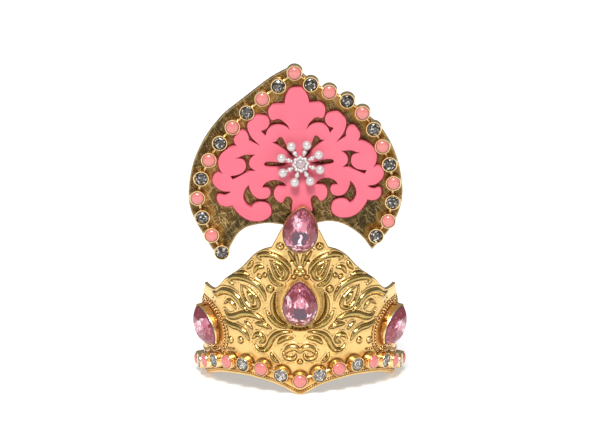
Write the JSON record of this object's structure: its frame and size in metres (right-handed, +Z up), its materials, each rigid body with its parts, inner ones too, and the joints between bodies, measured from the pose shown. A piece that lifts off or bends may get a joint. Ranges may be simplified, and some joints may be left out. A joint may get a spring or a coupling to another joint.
{
  "type": "deity crown",
  "caption": "Small gilt deity crown: curved scrolled band with a peak, pear stones and cup chains, and a leaf-shaped mirror plaque with a pink damask cut-out and pearl flower.",
  "frame": {"origin": "middle of the crown's box, on the plane that it stands on", "axes": "+Z up to the plaque's tip, -Y the front, +X the wearer's left as seen from the front (viewer's right)"},
  "size_m": [0.0658, 0.0424, 0.1009],
  "materials": {
    "gold_band": "satin gilt, die-struck",
    "gold_settings": "polished gilt",
    "mirror_gold_sheet": "gold mirror, lightly scratched",
    "pink_cutout": "matte",
    "pink_cabochon": "satin gloss",
    "clear_crystal": "cut, clear",
    "pink_gem": "cut, foil-backed",
    "white_pearl": "pearl"
  },
  "bodies": {
    "root": {"band_chain_cabochon_left_2": "pink_cabochon", "band_chain_cabochon_left_4": "pink_cabochon", "band_chain_cabochon_left_6": "pink_cabochon", "band_chain_cabochon_left_8": "pink_cabochon", "band_chain_cabochon_middle_0": "pink_cabochon", "band_chain_cabochon_right_2": "pink_cabochon", "band_chain_cabochon_right_4": "pink_cabochon", "band_chain_cabochon_right_6": "pink_cabochon", "band_chain_cabochon_right_8": "pink_cabochon", "band_chain_crystal_left_1": "clear_crystal", "band_chain_crystal_left_3": "clear_crystal", "band_chain_crystal_left_5": "clear_crystal", "band_chain_crystal_left_7": "clear_crystal", "band_chain_crystal_right_1": "clear_crystal", "band_chain_crystal_right_3": "clear_crystal", "band_chain_crystal_right_5": "clear_crystal", "band_chain_crystal_right_7": "clear_crystal", "band_chain_cups": "gold_settings", "bezel_centre": "gold_settings", "bezel_left": "gold_settings", "bezel_right": "gold_settings", "bezel_upper": "gold_settings", "crown_band": "gold_band", "damask_cutout": "pink_cutout", "gem_centre": "pink_gem", "gem_left": "pink_gem", "gem_right": "pink_gem", "gem_upper": "pink_gem", "pearl_flower": "white_pearl", "plaque": "mirror_gold_sheet", "plaque_chain_cabochon_left_10": "pink_cabochon", "plaque_chain_cabochon_left_2": "pink_cabochon", "plaque_chain_cabochon_left_4": "pink_cabochon", "plaque_chain_cabochon_left_6": "pink_cabochon", "plaque_chain_cabochon_left_8": "pink_cabochon", "plaque_chain_cabochon_middle_0": "pink_cabochon", "plaque_chain_cabochon_right_10": "pink_cabochon", "plaque_chain_cabochon_right_2": "pink_cabochon", "plaque_chain_cabochon_right_4": "pink_cabochon", "plaque_chain_cabochon_right_6": "pink_cabochon", "plaque_chain_cabochon_right_8": "pink_cabochon", "plaque_chain_crystal_left_1": "clear_crystal", "plaque_chain_crystal_left_11": "clear_crystal", "plaque_chain_crystal_left_3": "clear_crystal", "plaque_chain_crystal_left_5": "clear_crystal", "plaque_chain_crystal_left_7": "clear_crystal", "plaque_chain_crystal_left_9": "clear_crystal", "plaque_chain_crystal_right_1": "clear_crystal", "plaque_chain_crystal_right_11": "clear_crystal", "plaque_chain_crystal_right_3": "clear_crystal", "plaque_chain_crystal_right_5": "clear_crystal", "plaque_chain_crystal_right_7": "clear_crystal", "plaque_chain_crystal_right_9": "clear_crystal", "plaque_chain_cups": "gold_settings"}
  },
  "joints": []
}
